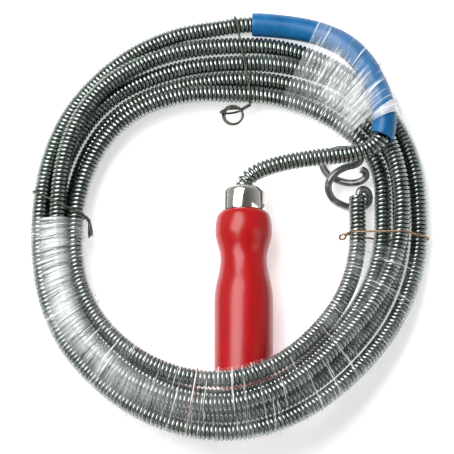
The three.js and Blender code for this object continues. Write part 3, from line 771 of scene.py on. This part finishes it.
def marked_finish(name, dark, light, marks, rough, relief=0.0, depth=0.0001, stretch=(1, 1, 1)):
    """A finish whose colour and roughness wander between two values, in marks of one size."""
    material, link, shader, node = new_finish(name)
    place = node("ShaderNodeTexCoord")
    scaled = node("ShaderNodeMapping")
    scaled.inputs["Scale"].default_value = stretch
    link(place.outputs["Object"], scaled.inputs["Vector"])
    broad = node("ShaderNodeTexNoise", Scale=marks, Detail=4.0, Roughness=0.6)
    link(scaled.outputs["Vector"], broad.inputs["Vector"])
    colour = node("ShaderNodeMix", {"data_type": "RGBA"})
    colour.inputs["A"].default_value = (*dark, 1)
    colour.inputs["B"].default_value = (*light, 1)
    contrast = node("ShaderNodeMapRange", From_Min=0.35, From_Max=0.65)
    link(broad.outputs["Fac"], contrast.inputs["Value"])
    link(contrast.outputs["Result"], colour.inputs["Factor"])
    link(colour.outputs["Result"], shader.inputs["Base Color"])
    sheen = node("ShaderNodeMapRange", From_Min=0.35, From_Max=0.65, To_Min=rough[0], To_Max=rough[1])
    link(broad.outputs["Fac"], sheen.inputs["Value"])
    link(sheen.outputs["Result"], shader.inputs["Roughness"])
    if relief:
        fine = node("ShaderNodeTexNoise", Scale=marks * 4, Detail=3.0)
        link(scaled.outputs["Vector"], fine.inputs["Vector"])
        bump = node("ShaderNodeBump", Strength=relief, Distance=depth)
        link(fine.outputs["Fac"], bump.inputs["Height"])
        link(bump.outputs["Normal"], shader.inputs["Normal"])
    return material, shader


print("finish helper ready")

# %% [markdown]
# ## Metals
# Spring wire is drawn hard and left bare, so it is dull grey with a green cast and a soft gloss.
# The hook has been bent hot and is duller. The ferrule is nickel plated, smooth and faintly warm.
# Soft tie wire is dark where it was annealed, copper coloured where it was washed, and the lowest
# tie is paler than the rest.

# %% Steel, nickel and tie wire
def metal(name, dark, light, marks, rough, relief, depth=0.00005):
    material, shader = marked_finish(name, dark, light, marks, rough, relief, depth)
    shader.inputs["Metallic"].default_value = 1.0
    return material


cable_finish = metal("spring wire", (0.2, 0.235, 0.212), (0.37, 0.41, 0.382), 260, (0.15, 0.26), 0.2)
hook_finish = metal("bent hook wire", (0.16, 0.17, 0.165), (0.34, 0.35, 0.34), 420, (0.32, 0.5), 0.5)
nickel_finish = metal("nickel plate", (0.7, 0.67, 0.6), (0.82, 0.8, 0.74), 120, (0.07, 0.16), 0.08)
rod_finish = metal("bright rod", (0.36, 0.35, 0.33), (0.5, 0.49, 0.46), 300, (0.25, 0.4), 0.2)
dark_tie_finish = metal("annealed tie wire", (0.05, 0.045, 0.04), (0.16, 0.14, 0.12), 600, (0.35, 0.55), 0.3)
copper_tie_finish = metal("copper washed wire", (0.16, 0.09, 0.055), (0.4, 0.25, 0.17), 500, (0.3, 0.45), 0.3)
pale_tie_finish = metal("pale tie wire", (0.5, 0.36, 0.32), (0.8, 0.66, 0.6), 500, (0.3, 0.45), 0.3)
print("seven metals")

# %% [markdown]
# ## Lacquer
# The handle is dipped in red lacquer. It dries glossy but not quite level: there are fine pits over
# the pores of the wood and a faint grain below. A thin clear coat carries part of the reflections.

# %% Red lacquer
lacquer_finish, lacquer = marked_finish(
    "red lacquer", (0.36, 0.002, 0.004), (0.5, 0.004, 0.007), 55, (0.3, 0.42), 0.7, 0.00014, (1, 0.25, 1)
)
lacquer.inputs["Specular IOR Level"].default_value = 0.25
lacquer.inputs["Coat Weight"].default_value = 0.35
lacquer.inputs["Coat Roughness"].default_value = 0.2
print("lacquer", lacquer_finish.name)

# %% [markdown]
# ## Plastic sleeve
# Soft blue plastic with a slightly uneven skin, as it comes out of the extruder.

# %% Blue plastic
vinyl_finish, vinyl = marked_finish(
    "blue plastic", (0.002, 0.09, 0.24), (0.004, 0.135, 0.35), 90, (0.3, 0.42), 0.3, 0.0001
)
vinyl.inputs["Specular IOR Level"].default_value = 0.35
print("vinyl", vinyl_finish.name)

# %% [markdown]
# ## Clear film
# Film is almost invisible where it lies flat. It shows as white streaks where it is creased, and
# as a milky haze where several layers lie together. The streaks are partly the whiteness of folded
# film and partly a painted highlight, the glint of the creases. Both come from noise in the sheet's
# own coordinates, which we stored on the mesh: the angle round the ring and the share round the bundle.
# Where film spans a hollow between strands it catches the lamp as one white band. Each finish has
# that band as a painted highlight: a band of glare where the white film is made nearly opaque,
# broken up by the same streaks.

# %% Film
def film_finish(name, haze, glare_share, glare_reach, glare_from, glare_to):
    """Film with streaks, haze, and a band of painted glare round one share that fades from angle to angle."""
    material, link, shader, node = new_finish(name)
    laid = node("ShaderNodeAttribute", {"attribute_name": "laid"})
    streak_place = node("ShaderNodeMapping")
    streak_place.inputs["Scale"].default_value = (75, 3.0, 1)
    streaks = node("ShaderNodeTexNoise", Scale=1.0, Detail=5.0, Roughness=0.65, Distortion=0.6)
    hazes = node("ShaderNodeTexNoise", Scale=1.0, Detail=2.0)
    haze_place = node("ShaderNodeMapping")
    haze_place.inputs["Scale"].default_value = (5, 4, 1)
    for place, texture in ((streak_place, streaks), (haze_place, hazes)):
        link(laid.outputs["Vector"], place.inputs["Vector"])
        link(place.outputs["Vector"], texture.inputs["Vector"])
    # Streaks: white film made opaque along creases, partly a painted highlight.
    lines = node("ShaderNodeMapRange", From_Min=0.58, From_Max=0.68, To_Min=0.0, To_Max=0.75)
    link(streaks.outputs["Fac"], lines.inputs["Value"])
    milk = node("ShaderNodeMapRange", From_Min=0.5, From_Max=0.7, To_Min=0.03, To_Max=haze)
    link(hazes.outputs["Fac"], milk.inputs["Value"])
    # The glare band is a painted highlight: opacity of the white film near one share, fading with angle.
    parts = node("ShaderNodeSeparateXYZ")
    link(laid.outputs["Vector"], parts.inputs["Vector"])
    away = node("ShaderNodeMath", {"operation": "SUBTRACT"})
    away.inputs[1].default_value = glare_share
    link(parts.outputs["Y"], away.inputs[0])
    distance = node("ShaderNodeMath", {"operation": "ABSOLUTE"})
    link(away.outputs["Value"], distance.inputs[0])
    inside = 0.3 * glare_reach
    near = node("ShaderNodeMapRange", From_Min=inside, From_Max=glare_reach, To_Min=1.0, To_Max=0.0)
    link(distance.outputs["Value"], near.inputs["Value"])
    fade = node("ShaderNodeMapRange", From_Min=glare_from, From_Max=glare_to, To_Min=0.62, To_Max=0.0)
    link(parts.outputs["X"], fade.inputs["Value"])
    broken = node("ShaderNodeMapRange", From_Min=0.36, From_Max=0.52, To_Min=0.15, To_Max=1.0)
    link(streaks.outputs["Fac"], broken.inputs["Value"])
    glare = near.outputs["Result"]
    for factor in (fade, broken):
        times = node("ShaderNodeMath", {"operation": "MULTIPLY"})
        link(glare, times.inputs[0])
        link(factor.outputs["Result"], times.inputs[1])
        glare = times.outputs["Value"]
    alpha = glare
    for layer in (lines, milk):
        both = node("ShaderNodeMath", {"operation": "ADD", "use_clamp": True})
        link(alpha, both.inputs[0])
        link(layer.outputs["Result"], both.inputs[1])
        alpha = both.outputs["Value"]
    link(alpha, shader.inputs["Alpha"])
    bump = node("ShaderNodeBump", Strength=0.6, Distance=0.0006)
    link(streaks.outputs["Fac"], bump.inputs["Height"])
    link(bump.outputs["Normal"], shader.inputs["Normal"])
    shader.inputs["Base Color"].default_value = (0.92, 0.95, 0.96, 1)
    shader.inputs["Roughness"].default_value = 0.16
    shader.inputs["Specular IOR Level"].default_value = 1.0
    return material


FILM_HAZE = 0.12
# The glare numbers place each painted highlight: its share round the bundle, reach and fading angles.
ring_film_finish = film_finish(
    "stretch film", FILM_HAZE, glare_share=0.19, glare_reach=0.11, glare_from=3.5, glare_to=4.7
)
crossing_film_finish = film_finish(
    "gathered stretch film", FILM_HAZE, glare_share=0.27, glare_reach=0.16, glare_from=7.0, glare_to=7.5
)
print("films", ring_film_finish.name, "and", crossing_film_finish.name)

# %% [markdown]
# ## Dressing the pieces
# New pieces get their one finish. The rod and the washer inside the handle are CAD solids that are
# right as they stand, so they keep their shape and only change their finish.

# %% Finish by piece
finishes = {
    "spring_cable": cable_finish,
    "arm_spring": cable_finish,
    "hook_loops": hook_finish,
    "sleeve_tube": vinyl_finish,
    "handle_wood": lacquer_finish,
    "ferrule_cup": nickel_finish,
    "brad_head": rod_finish,
    "tie_top": dark_tie_finish,
    "tie_left": dark_tie_finish,
    "tie_right": copper_tie_finish,
    "tie_bottom": pale_tie_finish,
    "film_ring": ring_film_finish,
    "film_crossing": crossing_film_finish,
}
for name, finish in finishes.items():
    bpy.data.objects[name].data.materials.append(finish)
for name in ("crank_rod", "butt_washer"):
    for material_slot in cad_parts[name].material_slots:
        material_slot.material = rod_finish
print(len(finishes), "new pieces dressed")

# %% [markdown]
# ## Table and light
# A pale table, plain and slightly soft in sheen, with a glow of its own like a light table, so that
# the shadows stay faint and the ground reads as white. The main light is a soft box high on the
# left: it lays one crisp highlight along the crown of every round thing. The room is brighter near
# the horizon than overhead, as in a white tent, so that bright metal has something dark to show.

# %% Table
TABLE_SIZE = 3
TABLE_BELOW = 0.0002
table_mesh = bpy.data.meshes.new("table")
half = TABLE_SIZE / 2
corners = [(-half, -half, 0), (half, -half, 0), (half, half, 0), (-half, half, 0)]
table_mesh.from_pydata(corners, [], [(0, 1, 2, 3)])
table = bpy.data.objects.new("table", table_mesh)
bpy.context.scene.collection.objects.link(table)
table.location.z = -TABLE_BELOW
TABLE_GLOW = 0.5
table_pale = (0.88, 0.88, 0.88)
table_finish, table_shader = marked_finish("pale table", table_pale, (0.92, 0.92, 0.92), 3, (0.7, 0.8))
table_shader.inputs["Emission Color"].default_value = (1, 1, 1, 1)
table_shader.inputs["Emission Strength"].default_value = TABLE_GLOW
table_mesh.materials.append(table_finish)
print("table", TABLE_SIZE, "m")

# %% Light
def soft_box(name, place, size, watts):
    """An area light that faces the ring's middle."""
    data = bpy.data.lights.new(name, "AREA")
    data.shape = "RECTANGLE"
    data.size, data.size_y = size
    data.energy = watts
    lamp = bpy.data.objects.new(name, data)
    lamp.location = place
    lamp.rotation_euler = (RING_MIDDLE - Vector(place)).to_track_quat("-Z", "Y").to_euler()
    bpy.context.scene.collection.objects.link(lamp)


soft_box("main light", (-0.42, 0.28, 0.88), (0.95, 0.7), 15.0)
soft_box("right light", (0.8, -0.1, 0.5), (0.3, 0.6), 0.8)
world = bpy.data.worlds.new("white tent")
bpy.context.scene.world = world
world.use_nodes = True
sky = world.node_tree
background = sky.nodes["Background"]
direction = sky.nodes.new("ShaderNodeTexCoord")
parts = sky.nodes.new("ShaderNodeSeparateXYZ")
glow = sky.nodes.new("ShaderNodeMapRange")
glow.inputs["From Min"].default_value = 0.0
glow.inputs["From Max"].default_value = 1.0
glow.inputs["To Min"].default_value = 0.5
glow.inputs["To Max"].default_value = 0.12
sky.links.new(direction.outputs["Generated"], parts.inputs["Vector"])
sky.links.new(parts.outputs["Z"], glow.inputs["Value"])
sky.links.new(glow.outputs["Result"], background.inputs["Strength"])
background.inputs["Color"].default_value = (1, 1, 1, 1)
bpy.context.scene.view_settings.view_transform = "Standard"
